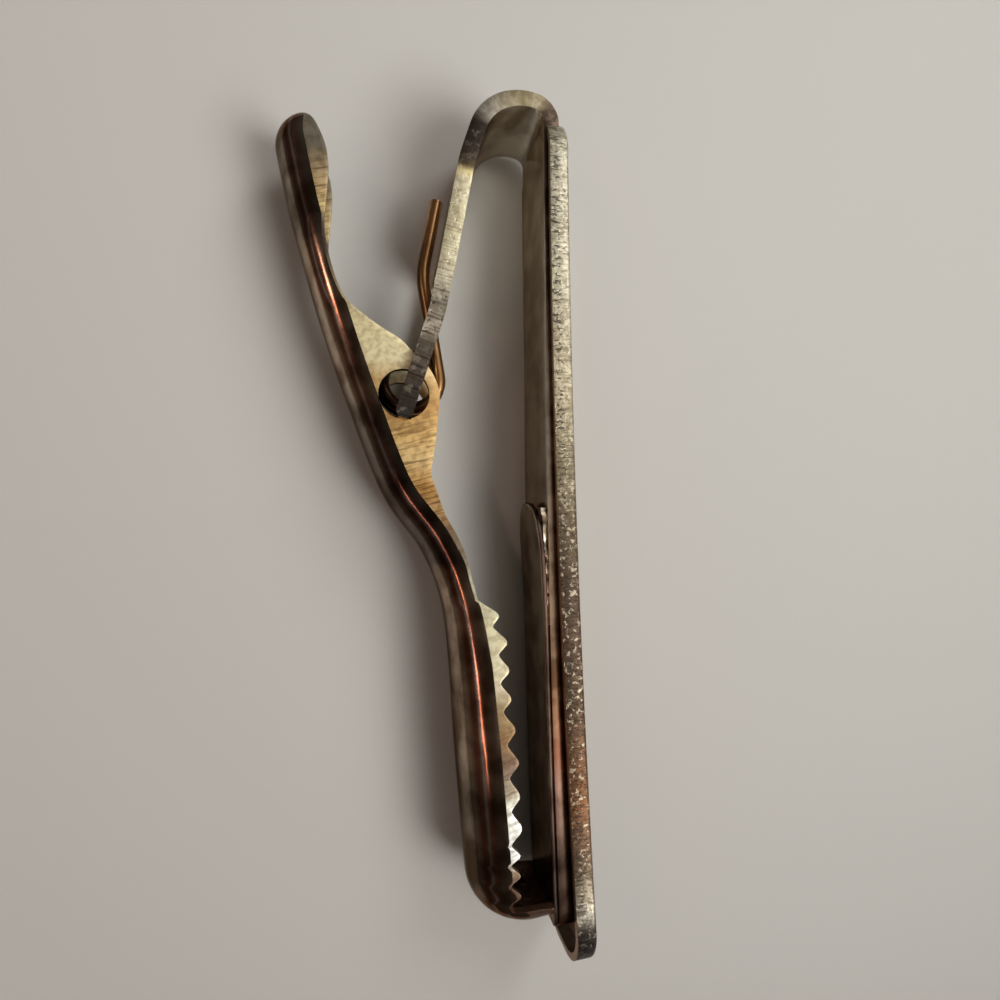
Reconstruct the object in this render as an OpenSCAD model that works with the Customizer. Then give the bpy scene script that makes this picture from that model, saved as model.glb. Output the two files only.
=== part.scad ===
// Tie clip, lying on its side: a front bar, a springy back strip folded over at the top,
// and a toothed lever that hinges on the two prongs of the strip. The drawing is laid out
// with x from the front of the bar, y from its middle, and z from the middle of its width.

/* [Front bar] */
// Length of the front bar
bar_l = 52.7; // [48:0.1:58]
// Width of the front bar, seen from the wearer's front
bar_w = 6.4; // [6:0.1:8]
// Depth of the bar from its face to the edge of its rim
bar_t = 1.25; // [1.15:0.05:1.6]
// Thickness of the sheet that the bar is pressed from
bar_sheet = 0.4; // [0.3:0.05:0.5]
// How far the middle of the bar is bowed towards the back
bar_bow = 0.38; // [0:0.02:0.6]
// Radius of the bar's corners, seen from the front
bar_corner_r = 2.6; // [1.2:0.1:2.8]
// Radius over which the bar's face rolls down at its two ends
bar_roll_r = 0.7; // [0.5:0.05:0.9]

/* [Back strip] */
// Thickness of the back strip
strip_t = 1.0; // [0.8:0.05:1.1]
// Width of the back strip
strip_w = 4.9; // [4.7:0.1:5.1]
// Length of strip that lies flat against the inside of the bar
seat_l = 10.2; // [6:0.1:14]
// How far the free end of the strip stands off the inside of the bar
strip_rise = 0.66; // [0.3:0.02:1]
// Distance from the bottom of the bar to the end of the strip
strip_short = 2.66; // [1.4:0.02:4]
// Radius of the strip's lower corners
strip_corner_r = 1.1; // [0.4:0.1:1.8]
// Distance from the top of the bar down to the start of the first fold
fold_drop = 0.54; // [0.52:0.01:1]
// Clearance beside the strip in the notch of the bar's top rim
notch_clearance = 0.1; // [0.05:0.05:0.2]
// Inner radius of the tight fold next to the bar
tight_fold_r = 0.73; // [0.5:0.01:0.9]
// Inner radius of the wide fold over the tie
wide_fold_r = 2.78; // [2.4:0.01:3]

/* [Arm and prongs] */
// Straight length of the arm above its first slight bend
arm_upper_l = 1.7; // [1.2:0.1:2.4]
// Straight length of the arm between its slight bends
arm_middle_l = 6.4; // [5.8:0.1:6.8]
// Straight length of the arm above the prongs' last slight bend
arm_lower_l = 2.7; // [2.2:0.1:3.2]
// Length of the window that parts the arm into two prongs
window_l = 9.3; // [8.6:0.1:9.8]
// Clearance between a prong and the lever's ear, on each side
ear_clearance = 0.08; // [0.05:0.01:0.1]

/* [Lever] */
// Height of the handle's end above the pivot
handle_rise = 16.7; // [15.5:0.1:17.5]
// How far the back of the handle stands out beyond the pivot
handle_reach = 7.2; // [7:0.05:7.6]
// Depth of the jaw's end below the pivot
jaw_drop = 31.9; // [29:0.1:32.6]
// How far the teeth reach towards the strip from the pivot
jaw_reach = 5.98; // [5.6:0.02:6.1]
// Width of the lever at its handle and ears
ear_w = 3.6; // [3.5:0.05:3.7]
// Width of the lever at its jaw
jaw_w = 4.9; // [4.4:0.1:5.2]
// Thickness of the lever's sheet
lever_sheet = 0.4; // [0.35:0.01:0.42]
// Diameter of the round hole in each ear
hole_d = 3.0; // [2.7:0.05:3.1]
// Clearance between a prong's end and the edge of its hole
lug_clearance = 0.06; // [0.03:0.01:0.1]
// Height of a tooth
tooth_h = 0.55; // [0.3:0.05:0.7]
// Spacing of the teeth next to the ears
upper_pitch = 1.66; // [1.5:0.02:1.7]
// Spacing of the teeth in the middle of the jaw
middle_pitch = 1.93; // [1.8:0.02:1.96]
// Spacing of the teeth next to the jaw's end
lower_pitch = 1.15; // [1:0.01:1.25]
// Gap between the jaw's lip and the strip when the clip is closed
lip_gap = 0.03; // [0.02:0.01:0.1]

/* [Spring] */
// Diameter of the spring wire
wire_d = 0.8; // [0.7:0.02:0.82]
// Free space between two turns of the coil
coil_gap = 0.42; // [0.41:0.01:0.44]
// Radius of the coil, to the middle of the wire
coil_r = 1.7; // [1.5:0.05:1.9]
// Length of the leg that rests on the arm, above its bend
rest_leg_l = 3.9; // [3.2:0.1:4.4]
// Length of the leg that rests on the lever
lever_leg_l = 5; // [3:0.5:7]

/* [Liner and solder] */
// Thickness of the liner on the inside of the strip
liner_t = 0.28; // [0.2:0.02:0.34]
// Width of the liner
liner_w = 4.5; // [4:0.1:4.7]
// Length of the liner
liner_l = 25.6; // [20:0.2:27]
// Length of the liner's end that has lifted off the strip
lifted_l = 9; // [6:0.5:11]
// How far the lifted end of the liner stands off the strip
lift = 0.42; // [0.2:0.02:0.5]

/* [Hidden] */
$fn = 64;
overrun = 1;
steps = 20;

// The bow of the bar is a parabola, sampled at the same heights for every piece on it
function bow(y) = -bar_bow * (1 - pow(2 * y / bar_l, 2));
function height(i) = bar_l * (i / steps - 1 / 2);
heights = [for (i = [0:steps]) height(i)];
floor_x = -bar_sheet;
roll_y = bar_l / 2 - bar_roll_r;

// The strip lies on the floor of the bar down to seat_y, and then leans away from it
seat_y = bar_l / 2 - seat_l;
fold_y = bar_l / 2 - fold_drop;
strip_end_y = strip_short - bar_l / 2;
function lean(y) = y > seat_y ? 0 : strip_rise * (seat_y - y) / (seat_y - strip_end_y);
function strip_outer_x(y) = floor_x + bow(y) - lean(y);
function strip_inner_x(y) = strip_outer_x(y) - strip_t;
strip_heights = concat([strip_end_y],
    [for (y = heights) if (y > strip_end_y && y < fold_y) y], [fold_y]);

// Places along a bent path: each leg is a straight length, a bend radius and a bend angle
bend_step_angle = 6;
function ahead(p, heading, l) = p + l * [cos(heading), sin(heading)];
function bend_point(p, heading, r, turn) =
    p + r * sign(turn) * [sin(heading + turn) - sin(heading), cos(heading) - cos(heading + turn)];
function bend_points(p, heading, r, turn) =
    let (n = max(1, ceil(abs(turn) / bend_step_angle)))
    [for (i = [1:n]) [bend_point(p, heading, r, turn * i / n), heading + turn * i / n]];
function walk(p, heading, legs, i = 0) =
    i == len(legs) ? [] :
    let (q = ahead(p, heading, legs[i][0]),
         bent = legs[i][2] == 0 ? [[q, heading]]
              : concat([[q, heading]], bend_points(q, heading, legs[i][1], legs[i][2])),
         last = bent[len(bent) - 1])
    concat(bent, walk(last[0], last[1], legs, i + 1));
function beside(places, d) = [for (p = places) p[0] + d * [sin(p[1]), -cos(p[1])]];
function reversed(list) = [for (i = [len(list) - 1:-1:0]) list[i]];

// Bend angles of the strip, in the order in which it is folded
tight_fold_angle = 78.3;
wide_fold_angle = 82.4;
arm_bend_angles = [7.2, -0.7, -6];
arm_bend_r = 6;
prong_l = 6.5;
fold_start = [strip_outer_x(fold_y) - strip_t / 2, fold_y];
arm_legs = [[0, tight_fold_r + strip_t / 2, tight_fold_angle],
            [0, wide_fold_r + strip_t / 2, wide_fold_angle],
            [arm_upper_l, arm_bend_r, arm_bend_angles[0]],
            [arm_middle_l, arm_bend_r, arm_bend_angles[1]],
            [arm_lower_l, arm_bend_r, arm_bend_angles[2]],
            [prong_l, 0, 0]];
arm_places = walk(fold_start, 90, arm_legs);
arm_end = arm_places[len(arm_places) - 1];
arm_heading = arm_end[1];
// The pivot is the middle of the round holes, just above the prongs' ends
pivot_back = 1.5;
pivot_offset = 0.33;
pivot = ahead(arm_end[0], arm_heading, -pivot_back) + pivot_offset * [sin(arm_heading), -cos(arm_heading)];
hole_r = hole_d / 2;
prong_in = ear_w / 2 + ear_clearance;
lug_in = ear_w / 2 - lever_sheet + ear_clearance / 2;

// Places on the lever are shares of the handle's or the jaw's reach and height
function handle_place(share) = pivot + [share[0] * handle_reach, share[1] * handle_rise];
function jaw_place(share) = pivot + [share[0] * jaw_reach, share[1] * jaw_drop];
handle_back_shares = [[-0.988, 0.8706], [-0.893, 0.653], [-0.781, 0.4544], [-0.663, 0.258],
                      [-0.478, 0]];
jaw_back_shares = [[-0.229, -0.1826], [0.144, -0.2905], [0.338, -0.3894], [0.406, -0.5074],
                   [0.440, -0.6648], [0.490, -0.8211]];
back_line = concat([for (s = handle_back_shares) handle_place(s)],
                   [for (s = jaw_back_shares) jaw_place(s)]);
// Share of the way from the ears' width to the jaw's width, at each place of the back
flare_shares = [0, 0, 0, 0, 0, 0, 0.08, 0.3, 0.75, 1, 1];
handle_rim_shares = [[-0.782, 1], [-0.7, 0.98], [-0.625, 0.925], [-0.575, 0.86], [-0.565, 0.79],
                     [-0.585, 0.69], [-0.605, 0.6], [-0.595, 0.53], [-0.545, 0.43],
                     [-0.452, 0.337], [-0.318, 0.282], [-0.17, 0.236], [-0.022, 0.1975],
                     [0.05, 0.1656], [0.125, 0.1338], [0.203, 0.0998], [0.262, 0.0552],
                     [0.296, 0.0032]];
jaw_rim_shares = [[0.318, -0.0646], [0.269, -0.1211], [0.246, -0.1432], [0.258, -0.1614],
                  [0.291, -0.1775], [0.375, -0.2245], [0.48, -0.2623], [0.547, -0.2915],
                  [0.592, -0.3198], [0.625, -0.3511]];
// Roots of the teeth, from the ears to the jaw's end
root_shares = [[0.674, -0.387], [0.788, -0.4183], [0.858, -0.4691], [0.8645, -0.5202],
               [0.873, -0.569], [0.906, -0.63], [0.928, -0.6895], [0.925, -0.746],
               [0.9415, -0.7995], [0.913, -0.8524], [0.908, -0.9281]];
upper_teeth = 4;
middle_teeth = 4;
lower_teeth = 3;
// A tooth's outline, as shares of its spacing and height
tooth_shares = [[0, 0.04], [0.24, 0.45], [0.4, 0.84], [0.5, 1], [0.6, 0.97], [0.7, 0.74], [0.9, 0.2]];

function mix(a, b, t) = a + (b - a) * t;
function curve(list, i, t) =
    let (n = len(list) - 1, a = list[max(i - 1, 0)], b = list[i], c = list[min(i + 1, n)],
         d = list[min(i + 2, n)])
    (2 * b + (c - a) * t + (2 * a - 5 * b + 4 * c - d) * t * t
     + (3 * b - a - 3 * c + d) * t * t * t) / 2;
back_cuts = 3;
back_points = concat([for (i = [0:len(back_line) - 2], k = [0:back_cuts - 1])
    curve(back_line, i, k / back_cuts)], [back_line[len(back_line) - 1]]);
back_flares = concat([for (i = [0:len(flare_shares) - 2], k = [0:back_cuts - 1])
    mix(flare_shares[i], flare_shares[i + 1], k / back_cuts)],
    [flare_shares[len(flare_shares) - 1]]);
function unit(v) = v / norm(v);
function back_way(i) = unit(back_points[min(i + 1, len(back_points) - 1)] - back_points[max(i - 1, 0)]);
function half_width(flare) = mix(ear_w, jaw_w, flare) / 2;

// Rounding of the lever's closed ends, across its back and across its sides
handle_back_r = 1.7;
handle_side_r = 1.4;
jaw_back_r = 3;
jaw_side_r = 1.3;
cap_shares = [0, 0.06, 0.2, 0.4, 0.7, 1];
wall_reach = 8;
arc_cuts = 10;
function rounding(r, d) = d >= r ? 0 : r - sqrt(r * r - (r - d) * (r - d));
// A station is a place on the back, the way along it, its depth of rounding and half width
function cap_station(base, way, l, d, back_r, side_r, half, inset) =
    [base + way * (l - inset - d), way, rounding(back_r - inset, d),
     half - rounding(side_r - inset, d)];
handle_cap_l = pivot[1] + handle_rise - back_points[0][1];
jaw_cap_l = back_points[len(back_points) - 1][1] - (pivot[1] - jaw_drop);
jaw_way = back_way(len(back_points) - 1);
function stations(inset) = concat(
    [for (s = cap_shares) let (st = cap_station(back_points[0], -back_way(0), handle_cap_l,
        s * (handle_back_r - inset), handle_back_r, handle_side_r, ear_w / 2, inset))
        [st[0], back_way(0), st[2], st[3]]],
    [for (i = [0:len(back_points) - 1])
        [back_points[i], back_way(i), 0, half_width(back_flares[i])]],
    [for (s = reversed(cap_shares)) cap_station(back_points[len(back_points) - 1], jaw_way,
        jaw_cap_l, s * (jaw_back_r - inset), jaw_back_r, jaw_side_r, jaw_w / 2, inset)]);
// Across the back the channel is half round, and its walls run on as far as wall_reach
function channel_section(station, inset) =
    let (r = station[3] - inset, way = station[1], inward = [-way[1], way[0]],
         start = station[2] + inset)
    concat([for (k = [0:arc_cuts]) let (a = 180 * k / arc_cuts - 90,
                q = start + r * (1 - cos(a)), p = station[0] + inward * q) [p[0], p[1], r * sin(a)]],
           [for (s = [1, -1]) let (p = station[0] + inward * wall_reach) [p[0], p[1], s * r]]);
module channel(inset) {
    rings = [for (st = stations(inset)) channel_section(st, inset)];
    n = len(rings[0]);
    m = len(rings);
    points = [for (ring = rings, p = ring) p];
    sides = [for (j = [0:m - 2], k = [0:n - 1], half = [0, 1])
        let (a = j * n + k, b = j * n + (k + 1) % n)
        half == 0 ? [a, b, b + n] : [a, b + n, a + n]];
    first = [for (k = [n - 1:-1:0]) k];
    last = [for (k = [0:n - 1]) (m - 1) * n + k];
    polyhedron(points, concat(sides, [first, last]), convexity = 8);
}

// The row of teeth follows the roots' curve
root_line = [for (s = root_shares) jaw_place(s)];
function root_x(y, i = 0) =
    i >= len(root_line) - 2 || y > root_line[i + 1][1]
    ? mix(root_line[i][0], root_line[i + 1][0],
          (y - root_line[i][1]) / (root_line[i + 1][1] - root_line[i][1]))
    : root_x(y, i + 1);
pitches = concat([for (i = [1:upper_teeth]) upper_pitch], [for (i = [1:middle_teeth]) middle_pitch],
                 [for (i = [1:lower_teeth]) lower_pitch]);
function tooth_start(i) = i == 0 ? root_line[0][1] : tooth_start(i - 1) - pitches[i - 1];
teeth_points = [for (i = [0:len(pitches) - 1], s = tooth_shares)
    let (y = tooth_start(i) - s[0] * pitches[i]) [root_x(y) + s[1] * tooth_h, y]];
teeth_end_y = tooth_start(len(pitches));

// The jaw ends in a lip that meets the liner
lip_x = strip_inner_x(strip_end_y) - liner_t - lip_gap;
lip_y = pivot[1] - jaw_drop;
lip_h = 1.2;
rim_outline = concat(
    [for (s = handle_rim_shares) handle_place(s)],
    [for (s = jaw_rim_shares) jaw_place(s)],
    teeth_points,
    [[root_x(teeth_end_y), teeth_end_y], [root_x(teeth_end_y), lip_y + jaw_side_r],
     [lip_x, lip_y + lip_h], [lip_x, lip_y - overrun],
     [pivot[0] - 2 * handle_reach, lip_y - overrun],
     [pivot[0] - 2 * handle_reach, pivot[1] + handle_rise + overrun],
     [handle_place(handle_rim_shares[0])[0], pivot[1] + handle_rise + overrun]]);

// The liner starts at the strip's end, and its upper end has lifted off
liner_top_y = strip_end_y + liner_l;
function lifted(y) = y < liner_top_y - lifted_l ? 0
    : lift * pow((y - liner_top_y + lifted_l) / lifted_l, 2);
liner_heights = concat([strip_end_y], [for (y = heights) if (y > strip_end_y && y < liner_top_y) y],
                       [liner_top_y]);
solder_heights = [for (y = liner_heights) if (y > liner_top_y - lifted_l) y];
solder_w = 3.8;
solder_share = 0.85;

// The coil of the spring turns about a point beside the pivot
coil_offset = 0.51;
coil_rise = 1.1;
coil_centre = pivot + [coil_offset, coil_rise];
leg_angle = 278;
lever_leg_angle = 114;
coil_turn_angle = leg_angle - lever_leg_angle + 360;
coil_pitch = wire_d + coil_gap;
coil_rings = 24;
leg_bend_angle = 20.4;
leg_bend_r = 5;
inner_leg_l = 5.45;
coil_z = coil_pitch * coil_turn_angle / 360 / 2;
function coil_point(turned) =
    let (a = leg_angle - 270 - turned)
    [coil_centre[0] + coil_r * cos(a), coil_centre[1] + coil_r * sin(a),
     coil_z - coil_pitch * turned / 360];
coil_steps = ceil(coil_turn_angle / 360 * coil_rings);
coil_points = [for (i = [0:coil_steps]) coil_point(coil_turn_angle * i / coil_steps)];
coil_top = [coil_points[0][0], coil_points[0][1]];
bend_end = ahead(coil_top, leg_angle, -inner_leg_l);
bend_places = bend_points(bend_end, leg_angle + 180, leg_bend_r, -leg_bend_angle);
bend_top = bend_places[len(bend_places) - 1];
leg_end = ahead(bend_top[0], bend_top[1], rest_leg_l);
coil_low = coil_points[coil_steps];
lever_leg_end = ahead([coil_low[0], coil_low[1]], lever_leg_angle, lever_leg_l);
wire_points = concat([[leg_end[0], leg_end[1], coil_z]],
    [for (p = reversed(bend_places)) [p[0][0], p[0][1], coil_z]],
    [[bend_end[0], bend_end[1], coil_z]], coil_points,
    [[lever_leg_end[0], lever_leg_end[1], coil_low[2]]]);
least_gap = min([for (i = [0:coil_steps], j = [i + coil_rings / 2:1:coil_steps])
    norm(coil_points[i] - coil_points[j])]) - wire_d;
echo(least_gap_between_turns = least_gap);
wire_sides = 6;

// Unturned sweep of a round wire that never runs along z
function wire_way(points, i) = unit(points[min(i + 1, len(points) - 1)] - points[max(i - 1, 0)]);
function wire_ring(points, i) =
    let (way = wire_way(points, i), side = unit(cross(way, [0, 0, 1])), up = cross(side, way))
    [for (k = [0:wire_sides - 1]) let (a = 360 * k / wire_sides)
        points[i] + wire_d / 2 * (cos(a) * side + sin(a) * up)];
module wire(points) {
    n = wire_sides;
    m = len(points);
    faces = [for (j = [0:m - 2], k = [0:n - 1], half = [0, 1])
        let (a = j * n + k, b = j * n + (k + 1) % n)
        half == 0 ? [a, a + n, b + n] : [a, b + n, b]];
    first = [for (k = [0:n - 1]) k];
    last = [for (k = [n - 1:-1:0]) (m - 1) * n + k];
    polyhedron([for (i = [0:m - 1], p = wire_ring(points, i)) p], concat(faces, [first, last]),
               convexity = 6);
}

// The origin is under the middle of the whole clip, on the surface that it lies on
clip_top = max([for (p = beside(arm_places, strip_t / 2)) p[1]]);
clip_left = min([for (s = stations(0)) s[0][0] + s[2]]);
middle_x = (clip_left + bow(roll_y)) / 2;
middle_y = (clip_top - bar_l / 2) / 2;
module placed() {
    translate([-middle_x, -middle_y, bar_w / 2]) children();
}

// A slab across the width of the clip, from z1 to z2
module slab(outline, z1, z2) {
    translate([0, 0, z1]) linear_extrude(z2 - z1) polygon(outline);
}
// What rounds the corners of a bar or strip, seen from the front
module corner_cut(y, side, w, r) {
    translate([overrun, y - side * r, 0]) rotate([0, -90, 0])
        linear_extrude(bar_t + strip_t + 2 * overrun)
            for (s = [-1, 1]) difference() {
                translate([s > 0 ? w / 2 - r : -w / 2 - overrun, side > 0 ? 0 : -r - overrun])
                    square([r + overrun, r + overrun]);
                translate([s * (w / 2 - r), 0]) circle(r);
            }
}

// The face of the bar, with both ends rolled down, and the floor inside its rim
roll_cuts = 6;
function roll_point(s, k) = let (a = 90 * k / roll_cuts)
    [bow(roll_y) - bar_roll_r * (1 - cos(a)), s * (roll_y + bar_roll_r * sin(a))];
face_line = concat([for (k = [roll_cuts:-1:0]) roll_point(-1, k)],
                   [for (y = heights) if (abs(y) < roll_y) [bow(y), y]],
                   [for (k = [0:roll_cuts]) roll_point(1, k)]);
function floor_line(list) = [for (y = list) [floor_x + bow(min(y, fold_y)), y]];
function rim_line(list, d) = [for (y = reversed(list)) [bow(y) - bar_t - d, y]];
inside_y = bar_l / 2 - bar_sheet;
inside_heights = concat([-inside_y], [for (y = heights) if (abs(y) < inside_y && y < fold_y) y],
                        [fold_y, inside_y]);
notch_heights = [height(steps - 1), fold_y, bar_l / 2 + overrun];
notch_w = strip_w + 2 * notch_clearance;
module front_bar() color("tan") placed() difference() {
    slab(concat(face_line, rim_line(heights, 0)), -bar_w / 2, bar_w / 2);
    difference() {
        slab(concat(floor_line(inside_heights), rim_line(inside_heights, overrun)),
             bar_sheet - bar_w / 2, bar_w / 2 - bar_sheet);
        for (s = [-1, 1])
            corner_cut(s * inside_y, s, bar_w - 2 * bar_sheet, bar_corner_r - bar_sheet);
    }
    slab(concat(floor_line(notch_heights), rim_line(notch_heights, overrun)),
         -notch_w / 2, notch_w / 2);
    for (s = [-1, 1]) corner_cut(s * bar_l / 2, s, bar_w, bar_corner_r);
}

module back_strip() color("darkgoldenrod") placed() {
    outer = concat([for (y = strip_heights) [strip_outer_x(y), y]],
                   beside(arm_places, strip_t / 2));
    inner = concat([for (y = strip_heights) [strip_inner_x(y), y]],
                   beside(arm_places, -strip_t / 2));
    band = concat(outer, reversed(inner));
    window_y = arm_end[0][1] + window_l;
    difference() {
        linear_extrude(strip_w, center = true) difference() {
            polygon(band);
            prong_end_cut();
        }
        corner_cut(strip_end_y, -1, strip_w, strip_corner_r);
        translate([pivot[0] - hole_d, pivot[1] - hole_d, -prong_in])
            cube([hole_d + handle_reach, window_y - pivot[1] + hole_d, 2 * prong_in]);
    }
    for (s = [-1, 1]) scale([1, 1, s]) translate([0, 0, lug_in])
        linear_extrude(prong_in - lug_in + ear_clearance) intersection() {
            polygon(band);
            translate([pivot[0], pivot[1] - lug_clearance]) lug_outline();
        }
}
// The prongs' ends are rounded to sit at the bottom of the holes
module lug_outline() intersection() {
    translate([0, lug_clearance]) circle(hole_r - lug_clearance);
    translate([-hole_d, -hole_d]) square([2 * hole_d, hole_d - lug_clearance]);
}
module prong_end_cut() difference() {
    translate([pivot[0] - hole_d, pivot[1] - 2 * hole_d]) square([2 * hole_d, 2 * hole_d]);
    translate(pivot) circle(hole_r - lug_clearance);
}

module seat_solder() color("silver") placed() {
    seam = [for (y = heights) if (y >= seat_y && y < bar_l / 2 - bar_corner_r) y];
    top_line = [for (y = reversed(seam)) [strip_outer_x(y) - strip_t / 2, y]];
    for (s = [-1, 1]) scale([1, 1, s])
        slab(concat(floor_line(seam), top_line), strip_w / 2, bar_w / 2 - bar_sheet);
}

module grip_liner() color("peru") placed() difference() {
    slab(concat([for (y = liner_heights) [strip_inner_x(y) - lifted(y), y]],
                [for (y = reversed(liner_heights)) [strip_inner_x(y) - lifted(y) - liner_t, y]]),
         -liner_w / 2, liner_w / 2);
    translate([-strip_rise, 0, 0]) corner_cut(strip_end_y, -1, liner_w, strip_corner_r);
}

module liner_solder() color("gainsboro") placed() {
    lower = [for (y = solder_heights) if (y < liner_top_y - (1 - solder_share) * lifted_l) y];
    slab(concat([for (y = lower) [strip_inner_x(y), y]],
                [for (y = reversed(lower)) [strip_inner_x(y) - lifted(y), y]]),
         -solder_w / 2, solder_w / 2);
}

module jaw_lever() color("sienna") placed() difference() {
    intersection() {
        difference() {
            channel(0);
            channel(lever_sheet);
        }
        linear_extrude(jaw_w + overrun, center = true) polygon(rim_outline);
    }
    translate([pivot[0], pivot[1], 0]) cylinder(h = jaw_w + overrun, r = hole_r, center = true);
    difference() {
        translate([lip_x - jaw_w / 2, lip_y - overrun, -jaw_w])
            cube([jaw_w, jaw_side_r + overrun, 2 * jaw_w]);
        translate([lip_x - jaw_w / 2, lip_y - 2 * overrun, 0]) rotate([-90, 0, 0])
            cylinder(h = jaw_side_r + 4 * overrun, r = jaw_w / 2);
    }
}

module torsion_spring() color("chocolate") placed() wire(wire_points);

front_bar();
back_strip();
seat_solder();
grip_liner();
liner_solder();
jaw_lever();
torsion_spring();
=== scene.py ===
import math
import bmesh
import bpy
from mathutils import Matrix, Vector, noise


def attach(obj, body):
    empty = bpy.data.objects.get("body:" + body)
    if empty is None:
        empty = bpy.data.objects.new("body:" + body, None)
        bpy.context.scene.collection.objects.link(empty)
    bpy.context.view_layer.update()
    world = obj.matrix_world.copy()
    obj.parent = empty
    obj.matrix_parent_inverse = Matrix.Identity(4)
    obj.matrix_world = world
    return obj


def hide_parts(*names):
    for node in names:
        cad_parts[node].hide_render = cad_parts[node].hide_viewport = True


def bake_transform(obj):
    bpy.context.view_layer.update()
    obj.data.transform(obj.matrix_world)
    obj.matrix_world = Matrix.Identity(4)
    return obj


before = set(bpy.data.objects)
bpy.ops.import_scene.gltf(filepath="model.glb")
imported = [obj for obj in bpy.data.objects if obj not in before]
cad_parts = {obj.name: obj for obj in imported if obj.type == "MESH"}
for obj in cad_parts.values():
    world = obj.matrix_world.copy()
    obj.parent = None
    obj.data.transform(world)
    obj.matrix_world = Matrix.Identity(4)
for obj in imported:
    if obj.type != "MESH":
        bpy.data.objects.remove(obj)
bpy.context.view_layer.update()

# Tie clip lying on its side, seen from straight above by a camera held close to it.
# All sizes below are in millimetres, and MM turns them into metres.
MM = 0.001
scene = bpy.context.scene
scene.view_settings.view_transform = "Standard"
bpy.ops.object.camera_add(location=(-3.749 * MM, 0.069 * MM, 37.389 * MM),
                          rotation=(0.045756, -0.233507, -0.031627))
camera = bpy.context.object
camera.name = "view_camera"
camera.data.sensor_width = 36
camera.data.lens = 19.656
camera.data.clip_start = 0.002
scene.camera = camera

# Table: a smooth pale sheet of card under the clip. It is plain and a little warm. A window and
# a door light it from the right, a desk lamp from the left, and a dim room from all round.
TABLE_WIDE = 800
bpy.ops.mesh.primitive_plane_add(size=TABLE_WIDE * MM)
table = bpy.context.object
table.name = "table_top"
card = bpy.data.materials.new("pale_card")
card.use_nodes = True
matt = card.node_tree.nodes["Principled BSDF"]
matt.inputs["Base Color"].default_value = (0.55, 0.53, 0.495, 1)
matt.inputs["Roughness"].default_value = 0.8
table.data.materials.append(card)

room = bpy.data.worlds.new("soft_room")
room.use_nodes = True
dim = room.node_tree.nodes["Background"]
dim.inputs["Color"].default_value = (1.0, 0.88, 0.76, 1)
dim.inputs["Strength"].default_value = 0.12
scene.world = room


def hang_lamp(name, place, aim, size, watts, colour, spread=180):
    # a flat lamp at place, turned to shine on aim
    bpy.ops.object.light_add(type="AREA", location=[v * MM for v in place])
    lamp = bpy.context.object
    lamp.name = name
    lamp.data.shape = "RECTANGLE"
    lamp.data.size = size[0] * MM
    lamp.data.size_y = size[1] * MM
    lamp.data.energy = watts
    lamp.data.color = colour
    lamp.data.spread = math.radians(spread)
    way = Vector(aim) - Vector(place)
    lamp.rotation_euler = way.to_track_quat("-Z", "Y").to_euler()


BULB = (1.0, 0.72, 0.62)
hang_lamp("ceiling_lamp", (90, 80, 220), (90, 80, 0), (140, 240), 0.045, (1.0, 0.98, 0.95))
hang_lamp("window_lamp", (131, -82, 184), (-25, 80, 0), (140, 140), 0.112, (0.98, 0.99, 0.98),
          spread=75)
hang_lamp("door_lamp", (150, 160, 165), (20, 20, 0), (110, 110), 0.2, (0.97, 1.0, 1.0))
hang_lamp("desk_lamp_high", (-215, 80, 205), (0, 0, 3), (12, 40), 0.05, BULB)
hang_lamp("desk_lamp_low", (-152, -100, 220), (0, -8, 5), (84, 6), 0.034, BULB)

# Front bar: sheet brass pressed to a shallow tray, 53 mm long, with a low rim all round its back,
# rounded corners, and ends that roll down. The top rim is notched for the strip that lies in it.
BAR_LONG, BAR_WIDE, BAR_DEEP, BAR_SHEET, BAR_BOW = 52.7, 6.4, 1.25, 0.4, 0.38
BAR_CORNER, BAR_ROLL, FACE_ROLL, FOLD_DROP, BAR_EASED = 2.6, 0.7, 0.25, 0.54, 0.07
NOTCH_WIDE, NOTCH_PLAY, BAR_ROWS = 5.1, 0.03, 20
FOLD_Y = BAR_LONG / 2 - FOLD_DROP
BAR_SPAN = (-BAR_LONG / 2, BAR_LONG / 2)

# The drawing of the clip has x from the front of the bar and y from its middle; at() places
# such a point in the frame of the model, whose origin is under the middle of the whole clip.
MID_X, MID_Y, MID_Z = -8.85056, 0.616295, 3.2
# two places closer than this count as one
CLOSE = 0.01 * MM


def at(x, y, z=0.0):
    return Vector(((x - MID_X) * MM, (y - MID_Y) * MM, (z + MID_Z) * MM))


def let_go():
    # back to object mode with nothing selected
    if bpy.context.mode != "OBJECT":
        bpy.ops.object.mode_set(mode="OBJECT")
    bpy.ops.object.select_all(action="DESELECT")


def take(piece):
    let_go()
    piece.select_set(True)
    bpy.context.view_layer.objects.active = piece


def open_up(piece):
    take(piece)
    bpy.ops.object.mode_set(mode="EDIT")


def pick(piece, kind, wanted):
    # selects only the wanted points, edges or faces of the piece that is open
    bpy.ops.mesh.select_mode(type=kind)
    bpy.ops.mesh.select_all(action="DESELECT")
    mesh = bmesh.from_edit_mesh(piece.data)
    for part in {"VERT": mesh.verts, "EDGE": mesh.edges, "FACE": mesh.faces}[kind]:
        if wanted(part):
            part.select_set(True)
    mesh.select_flush_mode()
    bmesh.update_edit_mesh(piece.data)


def middle(part):
    # middle of an edge or face
    return sum((v.co for v in part.verts), Vector()) / len(part.verts)


def span(edge):
    # how far an edge runs along each axis
    return edge.verts[0].co - edge.verts[1].co


def settle(piece):
    # puts the place, turn and size of the piece into its mesh
    take(piece)
    bpy.ops.object.transform_apply(location=True, rotation=True, scale=True)


def block(name, place, size):
    # a plain block with its middle at the place, ready to be shaped
    let_go()
    bpy.ops.mesh.primitive_cube_add(size=1, location=place, scale=[side * MM for side in size])
    made = bpy.context.object
    made.name = name
    settle(made)
    return made


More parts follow.
